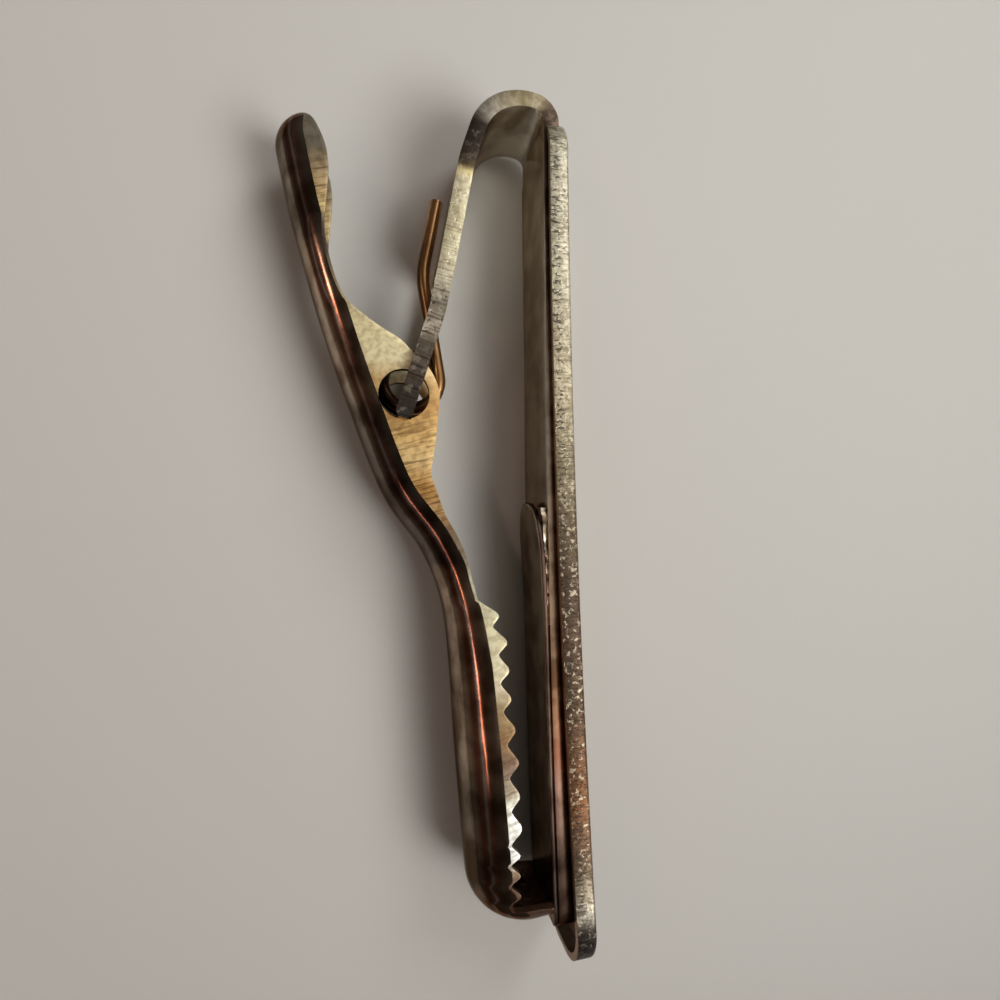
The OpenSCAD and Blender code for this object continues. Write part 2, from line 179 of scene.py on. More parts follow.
def slice_open(place, facing):
    # new edges all round the open piece, on the plane through the place
    bpy.ops.mesh.select_all(action="SELECT")
    bpy.ops.mesh.bisect(plane_co=place, plane_no=facing)


def finish_with(piece, kind, **values):
    take(piece)
    made = piece.modifiers.new(kind.lower(), kind)
    for key, value in values.items():
        setattr(made, key, value)
    bpy.ops.object.modifier_apply(modifier=made.name)


def ease(piece, width, degrees, segments=2):
    # takes the sharpness off the edges that turn by more than the degrees
    finish_with(piece, "BEVEL", limit_method="ANGLE", angle_limit=math.radians(degrees),
                width=width * MM, segments=segments)


def smooth(piece, degrees=35):
    take(piece)
    bpy.ops.object.shade_smooth_by_angle(angle=math.radians(degrees))


def mark(piece, name, value_at):
    # keeps a value for each point of the piece, worked out from its place in the drawing
    values = piece.data.attributes.new(name, "FLOAT", "POINT")
    for vertex, item in zip(piece.data.vertices, values.data):
        item.value = value_at(vertex.co.x / MM + MID_X, vertex.co.y / MM + MID_Y)


def push(dx, dy, dz=0.0):
    # a move in millimetres, as the operators want it
    return {"value": (dx * MM, dy * MM, dz * MM)}


def bow(y):
    # how far the bar's face stands back at a height, as the bar is slightly bowed
    return -BAR_BOW * (1 - (2 * y / BAR_LONG) ** 2)


def end_roll(y):
    # how far the face rolls down near the bar's ends
    past = max(abs(y) - BAR_LONG / 2 + BAR_ROLL, 0)
    return BAR_ROLL - math.sqrt(max(BAR_ROLL ** 2 - past ** 2, 0))


def cut_away(piece, box):
    # takes the box out of the piece, and then throws the box away
    finish_with(piece, "BOOLEAN", object=box, operation="DIFFERENCE")
    bpy.data.objects.remove(box)


front_bar = block("pressed_bar", at(-BAR_DEEP / 2, 0), (BAR_DEEP, BAR_LONG, BAR_WIDE))
open_up(front_bar)
pick(front_bar, "EDGE", lambda e: abs(span(e).x) > CLOSE)
bpy.ops.mesh.bevel(offset=BAR_CORNER * MM, segments=12, affect="EDGES")
pick(front_bar, "FACE", lambda f: f.normal.x < -0.9)
bpy.ops.mesh.inset(thickness=BAR_SHEET * MM)
bpy.ops.mesh.extrude_region_move(TRANSFORM_OT_translate=push(BAR_DEEP - BAR_SHEET, 0))
pick(front_bar, "EDGE", lambda e: max(f.normal.x for f in e.link_faces) > 0.9
     and min(f.normal.x for f in e.link_faces) < 0.1 and middle(e).x > at(0, 0).x - CLOSE)
bpy.ops.mesh.bevel(offset=FACE_ROLL * MM, segments=4, affect="EDGES")
bar_heights = [BAR_LONG * (i / BAR_ROWS - 0.5) for i in range(1, BAR_ROWS)]
roll_depths = [0.06, 0.15, 0.27, 0.45, 0.7, 1.1]
end_cuts = [side * (BAR_LONG / 2 - depth) for side in (-1, 1) for depth in roll_depths]
for y in bar_heights + end_cuts:
    slice_open(at(0, y), (0, 1, 0))
let_go()
SAME_LEVEL = 2e-7
for level in sorted({round(v.co.y, 7) for v in front_bar.data.vertices}):
    y = level / MM + MID_Y
    open_up(front_bar)
    pick(front_bar, "VERT", lambda v: abs(v.co.y - level) < SAME_LEVEL)
    bpy.ops.transform.translate(**push(bow(y), 0))
    pick(front_bar, "VERT", lambda v: abs(v.co.y - level) < SAME_LEVEL
         and v.co.x > at(bow(y) - FACE_ROLL, 0).x - 2 * CLOSE)
    bpy.ops.transform.translate(**push(-end_roll(y), 0))
let_go()
notch = block("notch", at(-BAR_SHEET - NOTCH_PLAY - BAR_DEEP / 2, BAR_LONG / 2),
              (BAR_DEEP, 2 * BAR_CORNER, NOTCH_WIDE))
cut_away(front_bar, notch)
ease(front_bar, BAR_EASED, degrees=50)
smooth(front_bar)


# The bar's brass has sheared edges, which face straight up and down and are pale and marked
# across by the shear, and rolled faces, which are smooth and brown with tarnish. Both finishes
# are built here, and come back in other colours on the strip, the liner and the lever.
def new_group(name, inputs, outputs):
    # a new group, with the sockets inside it that bring its inputs and take its outputs
    group = bpy.data.node_groups.new(name, "ShaderNodeTree")
    for label, kind, value in inputs:
        socket = group.interface.new_socket(name=label, in_out="INPUT", socket_type=kind)
        socket.default_value = value
    for label, kind in outputs:
        group.interface.new_socket(name=label, in_out="OUTPUT", socket_type=kind)
    return (group, group.nodes.new("NodeGroupInput").outputs,
            group.nodes.new("NodeGroupOutput").inputs)


def node(tree, kind, settings=None, **sockets):
    made = tree.nodes.new("ShaderNode" + kind)
    for key, value in (settings or {}).items():
        setattr(made, key, value)
    for key, value in sockets.items():
        label = key.replace("_", " ")
        target = made.inputs[label] if label in made.inputs else made.inputs[int(key[1:])]
        if isinstance(value, bpy.types.NodeSocket):
            tree.links.new(value, target)
        else:
            target.default_value = value
    return made


def ramp(tree, factor, stops):
    made = tree.nodes.new("ShaderNodeValToRGB")
    while len(made.color_ramp.elements) < len(stops):
        made.color_ramp.elements.new(0.5)
    for element, (place, colour) in zip(made.color_ramp.elements, stops):
        element.position = place
        element.color = (*colour, 1)
    tree.links.new(factor, made.inputs["Fac"])
    return made.outputs["Color"]


def reckon(tree, operation, *terms):
    # a sum with masks and values that change over the surface
    return node(tree, "Math", {"operation": operation},
                **{f"_{i}": term for i, term in enumerate(terms)}).outputs[0]


def above(tree, value, share, soft):
    # mask of the part of a noise that lies in its highest share
    rest = reckon(tree, "SUBTRACT", 1.0, share)
    past = reckon(tree, "ADD", rest, soft)
    return node(tree, "MapRange", Value=value, From_Min=rest, From_Max=past).outputs[0]


def scaled(tree, vector, scale):
    return node(tree, "VectorMath", {"operation": "MULTIPLY"}, _0=vector, _1=scale).outputs[0]


def mixed(tree, factor, a, b, blend="MIX"):
    made = tree.nodes.new("ShaderNodeMix")
    made.data_type = "RGBA"
    made.blend_type = blend
    for socket, value in ((made.inputs[0], factor), (made.inputs[6], a), (made.inputs[7], b)):
        if isinstance(value, bpy.types.NodeSocket):
            tree.links.new(value, socket)
        elif isinstance(value, tuple):
            socket.default_value = (*value, 1)
        else:
            socket.default_value = value
    return made.outputs[2]


def place_group(tree, group, **sockets):
    made = tree.nodes.new("ShaderNodeGroup")
    made.node_tree = group
    for key, value in sockets.items():
        target = made.inputs[key.replace("_", " ")]
        if isinstance(value, bpy.types.NodeSocket):
            tree.links.new(value, target)
        else:
            target.default_value = value
    return made


# struck_edge: lines across the run, cracks and pits, risen spots, and a fine mottle
struck, given, out = new_group(
    "struck_edge",
    [("Vector", "NodeSocketVector", (0, 0, 0)), ("Run", "NodeSocketVector", (0, 0, 0)),
     ("Slant", "NodeSocketFloat", 0.0), ("Lines", "NodeSocketVector", (150, 5200, 150)),
     ("Line Depth", "NodeSocketFloat", 0.5), ("Cracks", "NodeSocketVector", (1100, 4600, 1100)),
     ("Crack Share", "NodeSocketFloat", 0.4), ("Grain", "NodeSocketFloat", 3000.0),
     ("Pit Share", "NodeSocketFloat", 0.35), ("Spot Share", "NodeSocketFloat", 0.35)],
    [("Lines", "NodeSocketFloat"), ("Dark", "NodeSocketFloat"), ("Spots", "NodeSocketFloat"),
     ("Mottle", "NodeSocketFloat"), ("Height", "NodeSocketFloat")])
place = given["Vector"]
split = node(struck, "SeparateXYZ", _0=given["Run"])
leant = reckon(struck, "MULTIPLY_ADD", split.outputs["X"], given["Slant"],
               split.outputs["Y"])
sheared = node(struck, "CombineXYZ", X=split.outputs["X"], Y=leant, Z=split.outputs["Z"])
drawn = node(struck, "VectorMath", {"operation": "MULTIPLY"}, _0=sheared.outputs[0],
             _1=given["Lines"]).outputs[0]
lines = node(struck, "TexNoise", Vector=drawn, Scale=1.0, Detail=3.0, Roughness=0.65).outputs["Fac"]
crack_noise = node(struck, "TexNoise", Vector=scaled(struck, place, given["Cracks"]),
                   Scale=1.0, Detail=2.0)
cracks = above(struck, crack_noise.outputs["Fac"], given["Crack Share"], soft=0.05)
grain = node(struck, "TexNoise", Vector=place, Scale=given["Grain"], Detail=2.0)
pits = above(struck, grain.outputs["Fac"], given["Pit Share"], soft=0.06)
bumps = node(struck, "TexNoise", Vector=scaled(struck, place, (0.8, 0.8, 0.8)),
             Scale=given["Grain"], Detail=1.0)
spots = above(struck, bumps.outputs["Fac"], given["Spot Share"], soft=0.06)
dark = reckon(struck, "MAXIMUM", cracks, pits)
ridged = reckon(struck, "MULTIPLY", lines, given["Line Depth"])
sunk = reckon(struck, "SUBTRACT", ridged, dark)
risen = reckon(struck, "MULTIPLY_ADD", spots, 0.5, sunk)
for label, made in (("Lines", lines), ("Dark", dark), ("Spots", spots),
                    ("Mottle", bumps.outputs["Fac"]), ("Height", risen)):
    struck.links.new(made, out[label])

# worn_edge: lays those marks over the plain colour of an edge
worn_edge, given, out = new_group(
    "worn_edge",
    [("Plain", "NodeSocketColor", (1, 1, 1, 1)), ("Lines", "NodeSocketFloat", 0.5),
     ("Streak", "NodeSocketFloat", 0.7), ("Spots", "NodeSocketFloat", 0.0),
     ("Dark", "NodeSocketFloat", 0.0), ("Mottle", "NodeSocketFloat", 0.5)],
    [("Colour", "NodeSocketColor")])
mottled = ramp(worn_edge, given["Mottle"], [(0.36, (0.66, 0.61, 0.54)), (0.58, (1, 1, 1))])
plain = mixed(worn_edge, 0.75, given["Plain"], mottled, "MULTIPLY")
lined = ramp(worn_edge, given["Lines"], [(0.38, (0.35, 0.29, 0.22)), (0.52, (1, 1, 1))])
plain = mixed(worn_edge, given["Streak"], plain, lined, "MULTIPLY")
bright = mixed(worn_edge, 0.38, plain, (0.8, 0.7, 0.5))
plain = mixed(worn_edge, given["Spots"], plain, bright)
worn = mixed(worn_edge, 0.75, plain, (0.05, 0.035, 0.025))
worn_edge.links.new(mixed(worn_edge, given["Dark"], plain, worn), out["Colour"])

# clouded_face: tarnish in clouds and faint streaks over a smooth face
clouded, given, out = new_group(
    "clouded_face",
    [("Vector", "NodeSocketVector", (0, 0, 0)), ("Plain", "NodeSocketColor", (1, 1, 1, 1)),
     ("Streaks", "NodeSocketVector", (900, 160, 900)), ("Stain", "NodeSocketFloat", 0.85),
     ("Roughness", "NodeSocketFloat", 0.18)],
    [("Colour", "NodeSocketColor"), ("Roughness", "NodeSocketFloat"),
     ("Height", "NodeSocketFloat")])
place = given["Vector"]
streak = node(clouded, "TexNoise", Vector=scaled(clouded, place, given["Streaks"]),
              Scale=1.0, Detail=4.0)
cloud = node(clouded, "TexNoise", Vector=place, Scale=520.0, Detail=5.0)
both = reckon(clouded, "MULTIPLY_ADD", streak.outputs["Fac"], 0.5, cloud.outputs["Fac"])
stained = ramp(clouded, both, [(0.62, (0.26, 0.21, 0.17)), (0.86, (1, 1, 1))])
tarnished = mixed(clouded, given["Stain"], given["Plain"], stained, "MULTIPLY")
clouded.links.new(tarnished, out["Colour"])
rougher = node(clouded, "MapRange", Value=cloud.outputs["Fac"], To_Min=-0.06, To_Max=0.08)
wear = reckon(clouded, "ADD", rougher.outputs[0], given["Roughness"])
clouded.links.new(wear, out["Roughness"])
clouded.links.new(both, out["Height"])


def along(tree, coords, first, last):
    # share of the way from height first to height last of the drawing, over the piece
    split = node(tree, "SeparateXYZ", _0=coords)
    return node(tree, "MapRange", Value=split.outputs["Y"], From_Min=(first - MID_Y) * MM,
                From_Max=(last - MID_Y) * MM).outputs[0]


def grey(*stops):
    return [(place, (value, value, value)) for place, value in stops]


def metal(name, roughness=0.3):
    made = bpy.data.materials.new(name)
    made.use_nodes = True
    shader = made.node_tree.nodes["Principled BSDF"]
    shader.inputs["Metallic"].default_value = 1.0
    shader.inputs["Roughness"].default_value = roughness
    coords = made.node_tree.nodes.new("ShaderNodeTexCoord")
    return made, made.node_tree, shader, coords.outputs["Object"]


def edge_finish(name, stops, span, streak, wear, rough=0.45, bump=0.015, run=None, border=None,
                metallic=0.75, **marks):
    # sheared metal: its colour runs along the piece, and so do the amounts of lines and wear.
    # run and border name values kept on the points: the way along a bent piece, and across it
    made, tree, shader, place = metal(name)
    if run:
        way = node(tree, "Attribute", {"attribute_name": run}).outputs["Fac"]
        lain = node(tree, "CombineXYZ", Y=way).outputs[0]
        share = node(tree, "MapRange", Value=way, From_Min=span[0] * MM,
                     From_Max=span[1] * MM).outputs[0]
    else:
        lain, share = place, along(tree, place, *span)
    marked = place_group(tree, struck, Vector=place, Run=lain, **marks)
    drift = node(tree, "TexNoise", Vector=place, Scale=300.0, Detail=4.0)
    wander = reckon(tree, "MULTIPLY_ADD", drift.outputs["Fac"], 0.02, share)
    worn_here = ramp(tree, share, wear)
    dark = reckon(tree, "MULTIPLY", marked.outputs["Dark"], worn_here)
    if border:
        # cracks gather near the inner border of the bar's side
        where = node(tree, "Attribute", {"attribute_name": border})
        near = ramp(tree, where.outputs["Fac"], grey((0.0, 1), (0.38, 1), (0.52, 0.35), (0.9, 0.5)))
        dark = reckon(tree, "MULTIPLY", dark, near)
    spots = reckon(tree, "MULTIPLY", marked.outputs["Spots"], worn_here)
    laid = place_group(tree, worn_edge, Plain=ramp(tree, wander, stops),
                       Lines=marked.outputs["Lines"], Streak=ramp(tree, share, streak), Spots=spots,
                       Dark=dark, Mottle=marked.outputs["Mottle"])
    tree.links.new(laid.outputs["Colour"], shader.inputs["Base Color"])
    smear = node(tree, "MapRange", Value=drift.outputs["Fac"], To_Min=rough - 0.08,
                 To_Max=rough + 0.08)
    tree.links.new(smear.outputs[0], shader.inputs["Roughness"])
    raised = node(tree, "Bump", Strength=0.7, Distance=bump * MM, Height=marked.outputs["Height"])
    tree.links.new(raised.outputs["Normal"], shader.inputs["Normal"])
    shader.inputs["Metallic"].default_value = metallic
    return made


def face_finish(name, stops, span, rough=0.18, stain=0.85, tint=(0.45, 0.3, 0.22), round_at=None,
                shade_and_highlight_tones=(), metallic=1.0):
    # smooth tarnished metal: its colour runs along the piece. round_at names a value kept on the
    # points, the way round a curved back, over which the tones lay painted shade and a painted
    # highlight on the colour
    made, tree, shader, place = metal(name)
    plain = ramp(tree, along(tree, place, *span), stops)
    if round_at:
        where = node(tree, "Attribute", {"attribute_name": round_at})
        plain = mixed(tree, 1.0, plain, ramp(tree, where.outputs["Fac"], shade_and_highlight_tones), "MULTIPLY")
    laid = place_group(tree, clouded, Vector=place, Plain=plain, Stain=stain, Roughness=rough)
    tree.links.new(laid.outputs["Colour"], shader.inputs["Base Color"])
    tree.links.new(laid.outputs["Roughness"], shader.inputs["Roughness"])
    raised = node(tree, "Bump", Strength=0.3, Distance=0.025 * MM, Height=laid.outputs["Height"])
    tree.links.new(raised.outputs["Normal"], shader.inputs["Normal"])
    shader.inputs["Specular Tint"].default_value = (*tint, 1)
    shader.inputs["Metallic"].default_value = metallic
    return made


def dress(piece, face, *edges):
    # gives the piece its face finish, and each edge finish to the faces that are wanted for it
    piece.data.materials.append(face)
    for number, (edge, wanted) in enumerate(edges):
        piece.data.materials.append(edge)
        open_up(piece)
        pick(piece, "FACE", wanted)
        piece.active_material_index = number + 1
        bpy.ops.object.material_slot_assign()
        let_go()


# towards the bar's lower end the edge is painted nearly black where it rounds the corner, with a
# pale patch just above it: painted shade and a painted highlight
bar_edge = edge_finish(
    "bar_edge",
    [(0.0, (0.12, 0.11, 0.10)), (0.02, (0.03, 0.022, 0.018)), (0.065, (0.03, 0.022, 0.018)),
     (0.08, (0.42, 0.38, 0.31)), (0.105, (0.34, 0.28, 0.2)), (0.125, (0.14, 0.10, 0.065)),
     (0.2, (0.17, 0.075, 0.03)), (0.31, (0.085, 0.05, 0.028)), (0.45, (0.10, 0.066, 0.042)),
     (0.53, (0.2, 0.155, 0.1)), (0.6, (0.42, 0.36, 0.24)), (0.68, (0.7, 0.61, 0.43)),
     (0.8, (0.72, 0.66, 0.5)), (1.0, (0.62, 0.58, 0.45))],
    BAR_SPAN, bump=0.03, border="across", streak=grey((0, 0.25), (1, 0.45)),
    wear=grey((0.03, 0.1), (0.06, 0.8), (0.3, 1.0)),
    Lines=(300, 4200, 300), Line_Depth=0.4, Grain=4800.0, Crack_Share=0.43, Pit_Share=0.42,
    Spot_Share=0.42)
bar_face = face_finish(
    "bar_face", [(0.0, (0.4, 0.32, 0.25)), (0.3, (0.5, 0.30, 0.19)), (1.0, (0.6, 0.5, 0.36))],
    BAR_SPAN, metallic=0.6, stain=0.4)
dress(front_bar, bar_face, (bar_edge, lambda f: abs(f.normal.z) > 0.75))
mark(front_bar, "across", lambda x, y: (x - bow(y)) / BAR_DEEP + 1)
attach(front_bar, "clip")
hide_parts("front_bar")

# Back strip: one length of spring brass, 1 mm by 4.9 mm, soldered into the top of the bar.
# It is folded over at the top by two bends, and a window parts its arm into two prongs,
# whose rounded ends are turned inwards and sit in the holes of the lever.
STRIP_THICK, STRIP_WIDE, STRIP_STOPS, SEAT, RISE = 1.0, 4.9, 2.66, 10.2, 0.66
STRIP_END = STRIP_STOPS - BAR_LONG / 2
SEAT_Y = BAR_LONG / 2 - SEAT
FOLD_IN, FOLD_TURN, ARM_FOLD_IN, ARM_FOLD_TURN, BEND_CUTS = 0.73, 78.3, 2.78, 82.4, 8
SOFT_BEND, ARM_TURN, ARM_TURN_BACK, PRONG_TURN = 6.0, 7.2, -0.7, -6.0
ARM_HIGH, ARM_LOW, PRONG_HIGH, PRONG_LOW, PRONG_TIP = 1.7, 6.4, 2.7, 5.2, 1.3
PRONG_IN, LUG_IN, PRONG_ROUND, STRIP_CORNER, STRIP_EASED = 1.88, 1.44, 0.42, 1.1, 0.12
BAR_SIDE_FROM, BAR_SIDE_STOPS, RIM_SHADE_FROM = -2.7, 0.2, (-0.5, 9.5)
STRIP_SPAN = (-24, 28)
# the bent mesh stays this close to the middle line that is worked out for it
STRAY = 0.1


def strip_outer(y):
    # the strip's front face: it lies in the seat, and leans away from the bar below it
    lean = 0 if y > SEAT_Y else RISE * (SEAT_Y - y) / (SEAT_Y - STRIP_END)
    return bow(y) - BAR_SHEET - lean


def at_height(place, y):
    # whether a place in the mesh lies at this height of the drawing
    return abs(place.y - at(0, y).y) < CLOSE


def ahead(spot, heading, length):
    # the place that lies this length from the spot, in the direction of the heading
    turn = math.radians(heading)
    return (spot[0] + length * math.cos(turn), spot[1] + length * math.sin(turn))


let_go()
bpy.ops.mesh.primitive_plane_add(
    size=1, location=at(strip_outer(STRIP_END) - STRIP_THICK / 2, STRIP_END),
    rotation=(math.pi / 2, 0, 0))
back_strip = bpy.context.object
back_strip.name = "folded_strip"
back_strip.scale = (STRIP_THICK * MM, STRIP_WIDE * MM, 1)
settle(back_strip)
open_up(back_strip)
bpy.ops.mesh.select_all(action="SELECT")
spot = (strip_outer(STRIP_END) - STRIP_THICK / 2, STRIP_END)
for y in [h for h in bar_heights if h > STRIP_END] + [FOLD_Y]:
    after = (strip_outer(y) - STRIP_THICK / 2, y)
    bpy.ops.mesh.extrude_region_move(
        TRANSFORM_OT_translate=push(after[0] - spot[0], after[1] - spot[1]))
    spot = after
strip_path = [(strip_outer(y) - STRIP_THICK / 2, y) for y in (STRIP_END, 0, SEAT_Y, FOLD_Y)]
heading = 90.0


def bend_strip(radius, turn, steps):
    # spins the strip's open end round, and keeps the places that its middle line passes
    global spot, heading
    side = 1 if turn > 0 else -1
    centre = ahead(spot, heading + 90 * side, radius)
    bpy.ops.mesh.spin(steps=steps, angle=-math.radians(turn), center=at(*centre), axis=(0, 0, 1))
    strip_path.extend(ahead(centre, heading - 90 * side + turn * k / BEND_CUTS, radius)
                      for k in range(1, BEND_CUTS + 1))
    spot = strip_path[-1]
    heading += turn


def run_strip(length):
    # draws the strip's open end straight on
    global spot
    after = ahead(spot, heading, length)
    bpy.ops.mesh.extrude_region_move(
        TRANSFORM_OT_translate=push(after[0] - spot[0], after[1] - spot[1]))
    strip_path.append(after)
    spot = after


bend_strip(FOLD_IN + STRIP_THICK / 2, FOLD_TURN, steps=12)
bend_strip(ARM_FOLD_IN + STRIP_THICK / 2, ARM_FOLD_TURN, steps=16)
run_strip(ARM_HIGH)
bend_strip(SOFT_BEND, ARM_TURN, steps=2)
run_strip(ARM_LOW)
bend_strip(SOFT_BEND, ARM_TURN_BACK, steps=1)
# from the fork on, only the two outer borders of the width run on, as prongs
fork = spot
for side in (-1, 1):
    slice_open(at(0, 0, side * PRONG_IN), (0, 0, 1))
pick(back_strip, "FACE", lambda f: (middle(f).xy - at(*fork).xy).length < STRAY * MM
     and abs(middle(f).z - MID_Z * MM) > PRONG_IN * MM)
run_strip(PRONG_HIGH)
bend_strip(SOFT_BEND, PRONG_TURN, steps=2)
run_strip(PRONG_LOW)
run_strip(PRONG_TIP)
tip = spot
pick(back_strip, "EDGE", lambda e: abs(span(e).z) > CLOSE
     and (middle(e).xy - at(*tip).xy).length < (STRIP_THICK / 2 + STRAY) * MM)
bpy.ops.mesh.bevel(offset=PRONG_ROUND * MM, segments=5, affect="EDGES")
near_tip = at(*ahead(tip, heading, -PRONG_TIP / 2)).xy
for side in (-1, 1):
    pick(back_strip, "FACE", lambda f: abs(f.normal.z) > 0.9
         and abs(middle(f).z - (MID_Z + side * PRONG_IN) * MM) < CLOSE
         and (middle(f).xy - near_tip).length < PRONG_TIP / 2 * MM)
    bpy.ops.mesh.extrude_region_move(TRANSFORM_OT_translate=push(0, 0, side * (LUG_IN - PRONG_IN)))
pick(back_strip, "EDGE", lambda e: at_height(middle(e), STRIP_END)
     and abs(span(e).z) < CLOSE
     and abs(abs(middle(e).z - MID_Z * MM) - STRIP_WIDE / 2 * MM) < CLOSE)
bpy.ops.mesh.bevel(offset=STRIP_CORNER * MM, segments=8, affect="EDGES")
bpy.ops.mesh.select_all(action="SELECT")
bpy.ops.mesh.normals_make_consistent(inside=False)
ease(back_strip, STRIP_EASED, degrees=40, segments=3)
smooth(back_strip)


def run_at(x, y):
    # how far along the strip's bent middle line a place lies, in metres
    place, best, done = Vector((x, y)), (1e9, 0.0), 0.0
    for a, b in zip(strip_path[:-1], strip_path[1:]):
        a, b = Vector(a), Vector(b)
        long = (b - a).length
        k = min(max((place - a).dot(b - a) / long ** 2, 0), 1)
        best = min(best, ((place - a.lerp(b, k)).length, done + k * long))
        done += long
    return best[1] * MM


def run_side(place):
    # true along the length that lies in the bar, below the fold
    return place.x > at(BAR_SIDE_FROM, 0).x and place.y < at(0, FOLD_Y - BAR_SIDE_STOPS).y


mark(back_strip, "run", run_at)
# the start of the arm's edge, in the tight fold at the top of the bar, is painted dark: painted
# shadow inside the end of the fold
arm_edge = edge_finish(
    "arm_edge",
    [(0.0, (0.08, 0.05, 0.035)), (0.06, (0.12, 0.08, 0.05)), (0.085, (0.5, 0.42, 0.27)),
     (0.12, (0.36, 0.3, 0.17)), (0.16, (0.42, 0.36, 0.24)), (0.22, (0.33, 0.3, 0.25)),
     (0.235, (0.24, 0.21, 0.17)), (0.255, (0.03, 0.02, 0.014)), (0.31, (0.04, 0.028, 0.02)),
     (0.345, (0.06, 0.04, 0.028)), (0.365, (0.12, 0.085, 0.045)), (0.38, (0.9, 0.76, 0.4)),
     (0.4, (0.86, 0.78, 0.55)), (0.49, (0.72, 0.64, 0.42)),
     (0.56, (0.86, 0.78, 0.54)), (0.63, (0.85, 0.78, 0.58)), (0.69, (0.3, 0.26, 0.2)),
     (0.75, (0.52, 0.45, 0.36)), (0.79, (0.16, 0.13, 0.1)), (0.86, (0.11, 0.085, 0.065)),
     (0.9, (0.06, 0.048, 0.038)), (1.0, (0.04, 0.032, 0.028))],
    (49.0, 76.0), run="run",
    streak=grey((0.0, 0.1), (0.13, 0.25), (0.33, 0.3), (0.37, 0.1), (0.46, 0.1), (0.5, 0.7),
                (0.62, 0.6), (0.72, 1.0)),
    wear=grey((0.0, 0.12), (0.58, 0.15), (0.64, 1.0), (0.76, 0.9), (0.82, 0.3)),
    Crack_Share=0.34, Pit_Share=0.4, Spot_Share=0.4)
run_edge = face_finish(
    "run_edge", [(0.0, (0.1, 0.06, 0.045)), (0.09, (0.16, 0.10, 0.075)), (0.16, (0.5, 0.3, 0.22)),
                 (0.21, (0.36, 0.15, 0.09)), (0.28, (0.55, 0.3, 0.17)), (0.35, (0.5, 0.33, 0.22)),
                 (0.45, (0.62, 0.42, 0.28)), (0.54, (0.62, 0.48, 0.36)), (0.64, (0.55, 0.44, 0.34)),
                 (0.75, (0.26, 0.19, 0.14)), (1.0, (0.12, 0.08, 0.06))],
    (-24, 26), rough=0.3)
strip_face = face_finish(
    "strip_face", [(0.0, (0.6, 0.55, 0.5)), (0.45, (0.62, 0.58, 0.5)), (0.7, (0.8, 0.76, 0.68)),
                   (1.0, (0.85, 0.8, 0.7))], STRIP_SPAN, rough=0.2, stain=0.45,
    tint=(0.6, 0.5, 0.4))
# the rounded borders of the fold and the arm are painted dark brown: painted shade and dark
# reflection along their edges
rim_shade = face_finish("rim_shade", [(0.0, (0.1, 0.07, 0.05)), (1.0, (0.14, 0.10, 0.07))],
                       STRIP_SPAN, rough=0.3)
dress(back_strip, strip_face, (arm_edge, lambda f: abs(f.normal.z) > 0.9),
      (run_edge, lambda f: abs(f.normal.z) > 0.7 and run_side(middle(f))),
      (rim_shade, lambda f: 0.15 < abs(f.normal.z) < 0.88 and not run_side(middle(f))
       and middle(f).x < at(*RIM_SHADE_FROM).x and middle(f).y > at(*RIM_SHADE_FROM).y))
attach(back_strip, "clip")
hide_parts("back_strip")

# Solder in the seat: two narrow beads of tin that run down the sides of the strip, between it
# and the rims of the bar, where the strip was sweated into the tray.
BEAD_OUT, BEAD_DEEP, BEAD_LONG, BEAD_WIDE = 2.625, 0.5, 5.2, 0.33
BEAD_CUTS, BEAD_LUMPS = 11, (0.5, 0.1)
BEAD_Y = bar_heights[-2]


def rough_up(piece, size, high):
    # makes a smooth piece lumpy, with lumps of this size and height
    clouds = bpy.data.textures.new(piece.name + "_lumps", "CLOUDS")
    clouds.noise_scale = size * MM
    finish_with(piece, "DISPLACE", texture=clouds, strength=high * MM, mid_level=0.5,
                texture_coords="LOCAL")


# blotched_tin: a dull metal colour that is darker in blotches
blotched, given, out = new_group(
    "blotched_tin",
    [("Vector", "NodeSocketVector", (0, 0, 0)), ("Colour", "NodeSocketColor", (0.5, 0.47, 0.42, 1)),
     ("Shade", "NodeSocketFloat", 0.45), ("Grain", "NodeSocketFloat", 900.0)],
    [("Colour", "NodeSocketColor"), ("Height", "NodeSocketFloat")])
blotch = node(blotched, "TexNoise", Vector=given["Vector"], Scale=given["Grain"],
              Detail=4.0).outputs["Fac"]
shade = node(blotched, "MapRange", Value=blotch, From_Min=0.35, From_Max=0.6,
             To_Min=given["Shade"])
toned = node(blotched, "VectorMath", {"operation": "SCALE"}, _0=given["Colour"],
             Scale=shade.outputs[0])
blotched.links.new(toned.outputs[0], out["Colour"])
blotched.links.new(blotch, out["Height"])


def tin(name, colour, roughness, **values):
    made, tree, shader, place = metal(name, roughness)
    laid = place_group(tree, blotched, Vector=place, Colour=(*colour, 1), **values)
    tree.links.new(laid.outputs["Colour"], shader.inputs["Base Color"])
    raised = node(tree, "Bump", Strength=0.5, Distance=0.03 * MM, Height=laid.outputs["Height"])
    tree.links.new(raised.outputs["Normal"], shader.inputs["Normal"])
    return made


seat_beads = []
for side in (-1, 1):
    bead = block("seat_bead_" + ("far" if side < 0 else "near"),
                 at(strip_outer(BEAD_Y) - BEAD_DEEP / 2, BEAD_Y, side * BEAD_OUT),
                 (BEAD_DEEP, BEAD_LONG, BEAD_WIDE))
    open_up(bead)
    bpy.ops.mesh.select_all(action="SELECT")
    bpy.ops.mesh.subdivide(number_cuts=BEAD_CUTS)
    finish_with(bead, "SUBSURF", levels=1, render_levels=1)
    rough_up(bead, *BEAD_LUMPS)
    smooth(bead, degrees=60)
    seat_beads.append(bead)
seat_finish = tin("seat_finish", (0.5, 0.47, 0.42), roughness=0.5)
for bead in seat_beads:
    bead.data.materials.append(seat_finish)
    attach(bead, "clip")
    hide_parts("seat_solder")

